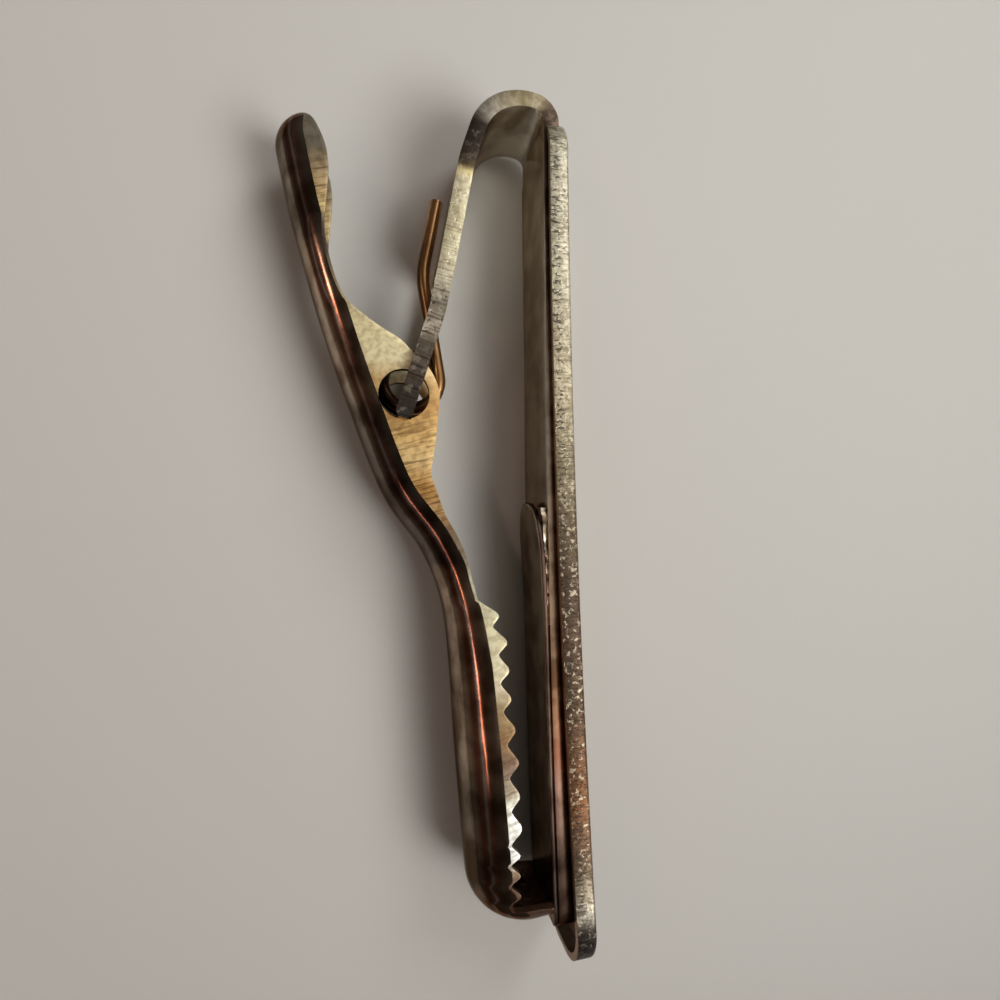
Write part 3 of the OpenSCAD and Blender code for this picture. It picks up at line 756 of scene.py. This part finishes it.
# Grip liner: a thin springy strip of brass on the inside of the strip, opposite the teeth. It
# was tinned on, and its ragged upper end has lifted off.
LINER_THICK, LINER_WIDE, LINER_LONG, LIFT_LONG, LIFT = 0.28, 4.5, 25.6, 9.0, 0.42
LINER_TOP = STRIP_END + LINER_LONG
LINER_CORNER, LINER_CUTS, LINER_ROWS, LINER_EASED, LINER_SPAN = 1.1, 14, 24, 0.05, (-24, 3)
TEAR_SIDE, TEAR_DEEP, TEAR_LEAST = 0.12, 0.3, 0.05


def strip_inner(y):
    return strip_outer(y) - STRIP_THICK


def lifted(y):
    # gap between the liner and the strip, where the liner's upper end has lifted off
    return 0 if y < LINER_TOP - LIFT_LONG else LIFT * ((y - LINER_TOP + LIFT_LONG) / LIFT_LONG) ** 2


liner = block("lifted_liner", at(-LINER_THICK / 2, STRIP_END + LINER_LONG / 2),
              (LINER_THICK, LINER_LONG, LINER_WIDE))
open_up(liner)
tip_depths = [0.5, 0.9, 1.4, 2.0, 2.8]
liner_heights = [STRIP_END + LINER_LONG * i / LINER_ROWS for i in range(LINER_ROWS - 2)]
liner_heights += [LINER_TOP - d for d in reversed(tip_depths)] + [LINER_TOP]
for y in liner_heights[1:-1]:
    slice_open(at(0, y), (0, 1, 0))
liner_widths = [LINER_WIDE * (k / LINER_CUTS - 0.5) for k in range(LINER_CUTS + 1)]
for z in liner_widths[1:-1]:
    slice_open(at(0, 0, z), (0, 0, 1))
for y in liner_heights:
    pick(liner, "VERT", lambda v: at_height(v.co, y))
    bpy.ops.transform.translate(**push(strip_inner(y) - lifted(y), 0))
pick(liner, "EDGE", lambda e: at_height(middle(e), STRIP_END)
     and abs(span(e).x) > CLOSE
     and abs(abs(middle(e).z - MID_Z * MM) - LINER_WIDE / 2 * MM) < CLOSE)
bpy.ops.mesh.bevel(offset=LINER_CORNER * MM, segments=6, affect="EDGES")
for k, z in enumerate(liner_widths):
    pick(liner, "VERT", lambda v: at_height(v.co, LINER_TOP)
         and abs(v.co.z - (z + MID_Z) * MM) < CLOSE)
    torn = noise.noise(Vector((k * 0.9, 2.3, 0.7)))
    bpy.ops.transform.translate(**push(TEAR_SIDE * torn, -TEAR_DEEP * abs(torn) - TEAR_LEAST))
# rows near the end are narrowed to a round tip; the torn end row goes in as one
TORN, TIP_SHARE = 0.42, 0.3
for depth in [0] + tip_depths:
    pick(liner, "VERT", lambda v: v.co.y > at(0, LINER_TOP - TORN).y if depth == 0
         else at_height(v.co, LINER_TOP - depth))
    share = max(math.sqrt(1 - (1 - depth / tip_depths[-1]) ** 2), TIP_SHARE)
    bpy.ops.transform.resize(value=(1, 1, share), center_override=at(0, LINER_TOP - depth))
ease(liner, LINER_EASED, degrees=50)
smooth(liner)
liner_face = face_finish(
    "liner_face", [(0.0, (0.4, 0.34, 0.28)), (0.5, (0.8, 0.72, 0.62)), (1.0, (0.72, 0.64, 0.54))],
    LINER_SPAN, rough=0.22, stain=0.6, tint=(0.5, 0.4, 0.32))
liner_edge = face_finish(
    "liner_edge",
    [(0.0, (0.08, 0.055, 0.045)), (0.8, (0.2, 0.12, 0.09)), (1.0, (0.12, 0.08, 0.06))],
    LINER_SPAN, rough=0.35)
dress(liner, liner_face, (liner_edge, lambda f: f.normal.x > -0.8))
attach(liner, "clip")
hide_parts("grip_liner")

# Solder under the liner: an uneven bright ridge of tin that once held the end of the liner
# down. It fills the wedge between the liner and the strip and runs out along their edge.
RIDGE_THICK, RIDGE_WIDE, RIDGE_LEAST, RIDGE_CUTS, RIDGE_ROWS = 0.2, 4.5, 0.06, 24, 40
RIDGE_FROM, RIDGE_STOPS, RIDGE_LUMPS = 1.4, 0.5, (0.35, 0.34)
ridge_low, ridge_high = LINER_TOP - LIFT_LONG + RIDGE_FROM, LINER_TOP - RIDGE_STOPS
ridge = block("liner_ridge", at(0, (ridge_low + ridge_high) / 2),
              (RIDGE_THICK, ridge_high - ridge_low, RIDGE_WIDE))
open_up(ridge)
ridge_heights = [ridge_low + (ridge_high - ridge_low) * i / RIDGE_ROWS
                 for i in range(RIDGE_ROWS + 1)]
for y in ridge_heights[1:-1]:
    slice_open(at(0, y), (0, 1, 0))
for k in range(1, RIDGE_CUTS):
    slice_open(at(0, 0, RIDGE_WIDE * (k / RIDGE_CUTS - 0.5)), (0, 0, 1))
for y in ridge_heights:
    gap = max(lifted(y), RIDGE_LEAST)
    pick(ridge, "VERT", lambda v: at_height(v.co, y))
    bpy.ops.transform.resize(value=(gap / RIDGE_THICK, 1, 1), center_override=at(0, y))
    bpy.ops.transform.translate(**push(strip_inner(y) - gap / 2, 0))
rough_up(ridge, *RIDGE_LUMPS)
smooth(ridge, degrees=60)
ridge_finish = tin("ridge_finish", (0.85, 0.7, 0.52), roughness=0.28, Shade=0.12, Grain=1500.0)
ridge.data.materials.append(ridge_finish)
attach(ridge, "clip")
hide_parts("liner_solder")

# Lever: a single pressed pan of sheet brass, half round across its back, with a finger handle
# at the top, two ears with a round hole each, and a toothed jaw that is closed by a lip.
PIVOT = (-10.4728, 8.36335)
HANDLE_RISE, HANDLE_REACH, JAW_DROP, JAW_REACH = 16.7, 7.2, 31.9, 5.98
EAR_WIDE, JAW_WIDE, LEVER_SHEET, HOLE_R = 3.6, 4.9, 0.4, 1.5
handle_back = [(-0.988, 0.8706), (-0.893, 0.653), (-0.781, 0.4544), (-0.663, 0.258), (-0.478, 0)]
jaw_back = [(-0.229, -0.1826), (0.144, -0.2905), (0.338, -0.3894), (0.406, -0.5074),
            (0.440, -0.6648), (0.490, -0.8211)]
flares = [0, 0, 0, 0, 0, 0, 0.08, 0.3, 0.75, 1, 1]
handle_rim = [(-0.782, 1), (-0.7, 0.98), (-0.625, 0.925), (-0.575, 0.86), (-0.565, 0.79),
              (-0.585, 0.69), (-0.605, 0.6), (-0.595, 0.53), (-0.545, 0.43), (-0.452, 0.337),
              (-0.318, 0.282), (-0.17, 0.236), (-0.022, 0.1975), (0.05, 0.1656), (0.125, 0.1338),
              (0.203, 0.0998), (0.262, 0.0552), (0.296, 0.0032)]
jaw_rim = [(0.318, -0.0646), (0.269, -0.1211), (0.246, -0.1432), (0.258, -0.1614),
           (0.291, -0.1775), (0.375, -0.2245), (0.48, -0.2623), (0.547, -0.2915),
           (0.592, -0.3198), (0.625, -0.3511)]
roots = [(0.674, -0.387), (0.788, -0.4183), (0.858, -0.4691), (0.8645, -0.5202),
         (0.873, -0.569), (0.906, -0.63), (0.928, -0.6895), (0.925, -0.746),
         (0.9415, -0.7995), (0.913, -0.8524), (0.908, -0.9281)]
tooth_form = [(0, 0.0), (0.1, 0.17), (0.2, 0.38), (0.3, 0.61), (0.4, 0.85), (0.48, 0.97),
              (0.56, 1.0), (0.64, 0.93), (0.72, 0.7), (0.82, 0.36), (0.92, 0.08)]
TOOTH_HIGH, RIM_STEP, LIP_GAP, LIP_HIGH = 0.57, 0.3, 0.03, 1.2
tooth_steps = [1.66] * 4 + [1.93] * 4 + [1.15] * 3
HANDLE_ROUND, JAW_ROUND, LEVER_EASED, DRILL_LONG = (1.9, 1.4), (3.0, 1.3), 0.09, 8
LEVER_SPAN = (-24, 26)


def handle_spot(share):
    return Vector((PIVOT[0] + share[0] * HANDLE_REACH, PIVOT[1] + share[1] * HANDLE_RISE))


def jaw_spot(share):
    return Vector((PIVOT[0] + share[0] * JAW_REACH, PIVOT[1] + share[1] * JAW_DROP))


def through(points, t):
    # place on a smooth curve through the points, t counting in points
    i = min(int(t), len(points) - 2)
    k = t - i
    a, b = points[max(i - 1, 0)], points[i]
    c, d = points[i + 1], points[min(i + 2, len(points) - 1)]
    return (b * 2 + (c - a) * k + (a * 2 - b * 5 + c * 4 - d) * k * k
            + (b * 3 - a - c * 3 + d) * k ** 3) / 2


back_line = [handle_spot(s) for s in handle_back] + [jaw_spot(s) for s in jaw_back]
root_line = [jaw_spot(s) for s in roots]
lip_x = strip_inner(STRIP_END) - LINER_THICK - LIP_GAP
lip_y = PIVOT[1] - JAW_DROP
lip_top = Vector((lip_x, lip_y + LIP_HIGH))
LAST = len(back_line) - 1
# counted in points of the back line: a small step, and how far a search goes
NUDGE, LOOK_ROUND, PAST_TOP, PAST_JAW, HALVINGS = 0.02, 1.5, 6, 8, 40


def root_x(y):
    # x of the line that the teeth stand on
    i = 0
    while i < len(root_line) - 2 and y < root_line[i + 1].y:
        i += 1
    a, b = root_line[i], root_line[i + 1]
    return a.x + (b.x - a.x) * (y - a.y) / (b.y - a.y)


def finer(points, gap):
    # the same line with points no further apart than about the gap
    result = []
    for a, b in zip(points[:-1], points[1:]):
        count = max(1, round((b - a).length / gap))
        result += [a.lerp(b, k / count) for k in range(count)]
    return result + [points[-1]]


teeth, start_y = [], root_line[0].y
for step_long in tooth_steps:
    for share, high in tooth_form:
        y = start_y - share * step_long
        teeth.append(Vector((root_x(y) + high * TOOTH_HIGH, y)))
    start_y -= step_long
teeth.append(Vector((root_x(start_y), start_y)))
upper_rim = [handle_spot(s) for s in handle_rim]
lower_rim = [jaw_spot(s) for s in jaw_rim] + [root_line[0]]
upper_curve = [through(upper_rim, k / 3) for k in range(3 * (len(upper_rim) - 1) + 1)]
lower_curve = [through(lower_rim, k / 3) for k in range(3 * (len(lower_rim) - 1) + 1)]
last_x = root_x(start_y)
lip_line = [Vector((last_x, start_y - 0.1)), Vector((last_x + 0.2, lip_y + 1.35)),
            lip_top + Vector((-0.9, 0.08)), lip_top]
lip_end = [lip_top - Vector((0, drop)) for drop in (0.25, 0.6, 0.9)]
rim = (finer(upper_curve + lower_curve[:-1], RIM_STEP) + teeth
       + finer(lip_line, RIM_STEP)[1:] + lip_end)


def back_state(t):
    # place, way and half width of the lever's back at t, which runs on straight past its ends
    kept = min(max(t, 0), LAST)
    way = (through(back_line, min(kept + NUDGE, LAST))
           - through(back_line, max(kept - NUDGE, 0))).normalized()
    i = min(int(kept), LAST - 1)
    flare = flares[i] + (flares[i + 1] - flares[i]) * (kept - i)
    return (through(back_line, kept) + way * (t - kept), way,
            (EAR_WIDE + (JAW_WIDE - EAR_WIDE) * flare) / 2)


def opposite(point, guess):
    # where along the back the point of the rim lies straight across from it
    low, high = max(guess - LOOK_ROUND, -PAST_TOP), min(guess + LOOK_ROUND, LAST + PAST_JAW)
    for _ in range(HALVINGS):
        half = (low + high) / 2
        here, way = back_state(half)[:2]
        if (point - here).dot(way) > 0:
            low = half
        else:
            high = half
    return (low + high) / 2


handle_cap = PIVOT[1] + HANDLE_RISE - back_line[0].y
jaw_cap = back_line[-1].y - lip_y


def rounded_off(radius, depth):
    # how far a round corner of this radius stands back at a depth from its end
    return 0 if depth >= radius else radius - math.sqrt(radius ** 2 - (radius - depth) ** 2)


sections, guess = [], -3.0
for point in rim:
    guess = opposite(point, guess)
    here, way, wide = back_state(guess)
    lift_in, narrow = 0.0, 0.0
    if guess < 0:
        depth = max(handle_cap + guess, 0.0)
        lift_in, narrow = (rounded_off(radius, depth) for radius in HANDLE_ROUND)
    if guess > LAST:
        depth = max(jaw_cap - (guess - LAST), 0.0)
        lift_in, narrow = (rounded_off(radius, depth) for radius in JAW_ROUND)
    sections.append((here, way, point, lift_in, wide - narrow))
WALL_CUTS, ARC_CUTS, BORDER = 4, 20, 0.95
across = 2 * WALL_CUTS + ARC_CUTS + 1


def section_points(here, way, point, lift_in, half):
    # across the section, the near wall comes first, then the half round back, and the far wall
    inward = Vector((-way.y, way.x))
    reach = (point - here).dot(inward) - lift_in
    quarter = half * math.pi / 2
    rim_at = quarter + reach - half if reach > half else half * math.acos(max(1 - reach / half, 0))
    border = min(quarter, BORDER * rim_at)
    wall = [rim_at + (border - rim_at) * k / WALL_CUTS for k in range(WALL_CUTS)]
    arc = [border * (1 - 2 * k / ARC_CUTS) for k in range(ARC_CUTS + 1)]
    result = []
    for d in wall + arc + [-w for w in reversed(wall)]:
        turn = min(abs(d), quarter) / half
        deep = lift_in + half * (1 - math.cos(turn)) + max(abs(d) - quarter, 0)
        result.append(at(*(here + inward * deep), math.copysign(half * math.sin(turn), d)))
    return result


let_go()
bpy.ops.mesh.primitive_grid_add(x_subdivisions=len(sections) - 1, y_subdivisions=across - 1,
                                size=1)
lever = bpy.context.object
lever.name = "jaw_lever_pan"
columns = sorted(lever.data.vertices, key=lambda v: (round(v.co.x, 5), v.co.y))
order = [v.index for v in columns]
for i, section in enumerate(sections):
    for j, place in enumerate(section_points(*section)):
        lever.data.vertices[order[i * across + j]].co = place
# the colours along the lever's edge are partly the brass's own and partly painted highlight and
# shade, above all the gold patch on the handle
lever_edge = edge_finish(
    "lever_edge",
    [(0.03, (0.10, 0.05, 0.03)), (0.075, (0.12, 0.06, 0.035)), (0.095, (0.35, 0.25, 0.16)),
     (0.11, (0.96, 0.95, 0.92)), (0.165, (0.85, 0.84, 0.74)), (0.185, (0.38, 0.31, 0.22)),
     (0.215, (0.22, 0.14, 0.09)), (0.244, (0.24, 0.13, 0.05)), (0.28, (0.34, 0.25, 0.13)),
     (0.31, (0.6, 0.52, 0.36)), (0.376, (0.72, 0.66, 0.43)), (0.43, (0.6, 0.55, 0.4)),
     (0.455, (0.3, 0.24, 0.16)), (0.49, (0.22, 0.14, 0.08)), (0.52, (0.55, 0.33, 0.13)),
     (0.545, (0.6, 0.32, 0.09)), (0.58, (0.82, 0.58, 0.27)), (0.61, (0.8, 0.52, 0.2)),
     (0.645, (0.6, 0.34, 0.12)), (0.675, (0.7, 0.46, 0.2)), (0.7, (0.97, 0.86, 0.54)),
     (0.74, (0.95, 0.82, 0.48)), (0.78, (0.5, 0.4, 0.24)), (0.83, (0.12, 0.08, 0.06)),
     (0.86, (0.16, 0.12, 0.09)), (0.88, (0.95, 0.74, 0.36)), (0.895, (0.85, 0.62, 0.32)),
     (0.945, (0.2, 0.17, 0.125)), (1.0, (0.28, 0.25, 0.19))],
    LEVER_SPAN, metallic=0.6,
    streak=grey((0.0, 0.3), (0.2, 0.7), (0.28, 0.2), (0.47, 0.15), (0.515, 0.9), (0.6, 0.8),
                (0.63, 0.1), (0.85, 0.1), (0.87, 0.8), (0.91, 0.8), (0.93, 0.0)),
    wear=grey((0.0, 0.5), (0.4, 0.3), (0.6, 0.2), (0.8, 0.6), (0.92, 0.2), (1.0, 0.1)),
    Slant=-0.27, Lines=(420, 5200, 420), Crack_Share=0.3, Pit_Share=0.3, Spot_Share=0.3)
# painted light round the back, from its middle (0) to the near border (1): painted shade that
# darkens the metal, and a painted highlight line left bright at 0.7 with deep red on both sides of
# it
back_shade_and_highlight = [(0.0, (0.32, 0.26, 0.22)), (0.3, (0.62, 0.54, 0.49)), (0.5, (0.92, 0.74, 0.61)),
              (0.6, (0.5, 0.22, 0.14)), (0.66, (0.6, 0.28, 0.2)), (0.7, (1.0, 1.0, 1.0)),
              (0.74, (0.6, 0.26, 0.18)), (0.8, (0.43, 0.25, 0.18)), (0.9, (0.48, 0.37, 0.3)),
              (1.0, (0.64, 0.52, 0.44))]
# along the lever the face is painted darker at the knee below the ears and at the lower end of the
# jaw: painted shade that keeps the desk lamps' highlight off those parts
lever_face = face_finish(
    "lever_face",
    [(0.0, (0.31, 0.29, 0.26)), (0.17, (0.31, 0.29, 0.26)), (0.22, (0.58, 0.52, 0.46)),
     (0.43, (0.58, 0.52, 0.46)), (0.445, (0.21, 0.2, 0.2)), (0.57, (0.21, 0.2, 0.2)),
     (0.62, (0.31, 0.31, 0.29)), (0.68, (0.62, 0.58, 0.52)), (0.8, (0.58, 0.54, 0.48)),
     (0.85, (0.36, 0.37, 0.36)), (1.0, (0.42, 0.44, 0.44))],
    LEVER_SPAN, rough=0.13, tint=(0.62, 0.54, 0.48), round_at="round", shade_and_highlight_tones=back_shade_and_highlight)
# each point keeps how far round the back it lies, which places the painted shade and highlight;
# points on the far side keep 0
rounds = lever.data.attributes.new("round", "FLOAT", "POINT")
for i in range(len(sections)):
    for j in range(across):
        vertex = order[i * across + j]
        turned = abs(1 - 2 * (j - WALL_CUTS) / ARC_CUTS)
        near_side = lever.data.vertices[vertex].co.z > MID_Z * MM
        rounds.data[vertex].value = min(turned, 1.0) if near_side else 0.0
# the flat walls of the ears take the edge finish
shelf = set(range(WALL_CUTS + 1)) | set(range(across - WALL_CUTS - 1, across))
flat = {order[i * across + j] for i in range(len(sections)) for j in shelf}
dress(lever, lever_face, (lever_edge, lambda f: all(v.index in flat for v in f.verts)))
open_up(lever)
for i in (0, len(sections) - 1):
    ring = {order[i * across + j] for j in range(across)}
    pick(lever, "VERT", lambda v: v.index in ring)
    bpy.ops.mesh.edge_face_add()
bpy.ops.mesh.select_all(action="SELECT")
bpy.ops.mesh.normals_make_consistent(inside=False)
finish_with(lever, "SOLIDIFY", thickness=LEVER_SHEET * MM, offset=-1, use_even_offset=False)
ease(lever, LEVER_EASED, degrees=55)
let_go()
bpy.ops.mesh.primitive_cylinder_add(vertices=64, radius=HOLE_R * MM, depth=DRILL_LONG * MM,
                                    location=at(*PIVOT))
drill = bpy.context.object
settle(drill)
cut_away(lever, drill)
smooth(lever, degrees=40)
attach(lever, "lever")
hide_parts("jaw_lever")

# Spring: round wire, 0.8 mm thick, wound one and a half turns between the ears. One leg runs up
# behind the near prong and rests on the arm, and the other lies inside the lever.
WIRE, COIL_GAP, COIL_R, COIL_ACROSS, COIL_UP, COIL_CUTS = 0.8, 0.42, 1.7, 0.51, 1.1, 72
LEG_ANGLE, LEVER_LEG_ANGLE, LEG_BEND, LEG_BEND_R = 278, 114, 20.4, 5.0
TURNED = LEG_ANGLE - LEVER_LEG_ANGLE + 360
LEG_TO_BEND, LEG_PAST_BEND, LEVER_LEG, WIRE_EASED = 5.45, 3.9, 5.0, 0.05
DARK_TO, UNSHADED_FROM, BLEND_IN = 0.9, 1.5, 0.1
coil_centre = (PIVOT[0] + COIL_ACROSS, PIVOT[1] + COIL_UP)
coil_high = (WIRE + COIL_GAP) * TURNED / 720


def on_coil(turned):
    a = math.radians(LEG_ANGLE - 270 - turned)
    return (coil_centre[0] + COIL_R * math.cos(a), coil_centre[1] + COIL_R * math.sin(a),
            coil_high - (WIRE + COIL_GAP) * turned / 360)


coil = [on_coil(TURNED * i / COIL_CUTS) for i in range(COIL_CUTS + 1)]
bend_from = ahead(coil[0][:2], LEG_ANGLE, -LEG_TO_BEND)
bend_middle = ahead(bend_from, LEG_ANGLE - 90, -LEG_BEND_R)
bend = [ahead(bend_middle, LEG_ANGLE - 90 - LEG_BEND * k / BEND_CUTS, LEG_BEND_R)
        for k in range(BEND_CUTS + 1)]
leg_end = ahead(bend[-1], LEG_ANGLE - 180 - LEG_BEND, LEG_PAST_BEND)
lever_leg_end = ahead(coil[-1][:2], LEVER_LEG_ANGLE, LEVER_LEG)
route = ([(*leg_end, coil_high)] + [(*p, coil_high) for p in reversed(bend)] + coil
         + [(*lever_leg_end, coil[-1][2])])
wire_curve = bpy.data.curves.new("spring_path", "CURVE")
wire_curve.dimensions = "3D"
wire_curve.bevel_depth = WIRE / 2 * MM
wire_curve.bevel_resolution = 5
wire_curve.use_fill_caps = True
path = wire_curve.splines.new("POLY")
path.points.add(len(route) - 1)
for point, place in zip(path.points, route):
    point.co = (*at(*place), 1)
spring = bpy.data.objects.new("spring_wire", wire_curve)
scene.collection.objects.link(spring)
take(spring)
bpy.ops.object.convert(target="MESH")
spring = bpy.context.object
ease(spring, WIRE_EASED, degrees=60)
smooth(spring, degrees=40)
wire_finish, tree, shader, place = metal("wire_finish")
stain = node(tree, "TexNoise", Vector=place, Scale=500.0, Detail=4.0)
copper = ramp(tree, stain.outputs["Fac"], [(0.3, (0.20, 0.09, 0.04)), (0.6, (0.42, 0.22, 0.09))])
# painted shade: the coil is darkened nearly to black where it lies between the ears
sides = node(tree, "SeparateXYZ", Vector=place)
open_share = node(tree, "MapRange", Value=sides.outputs["X"],
                  From_Min=at(PIVOT[0] + DARK_TO, 0).x, From_Max=at(PIVOT[0] + UNSHADED_FROM, 0).x)
ear_shade = ramp(tree, open_share.outputs[0], [(0.0, (0.16, 0.16, 0.24)), (1.0, (1, 1, 1))])
tree.links.new(mixed(tree, 1.0, copper, ear_shade, "MULTIPLY"), shader.inputs["Base Color"])
spring.data.materials.append(wire_finish)
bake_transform(spring)
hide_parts("torsion_spring")
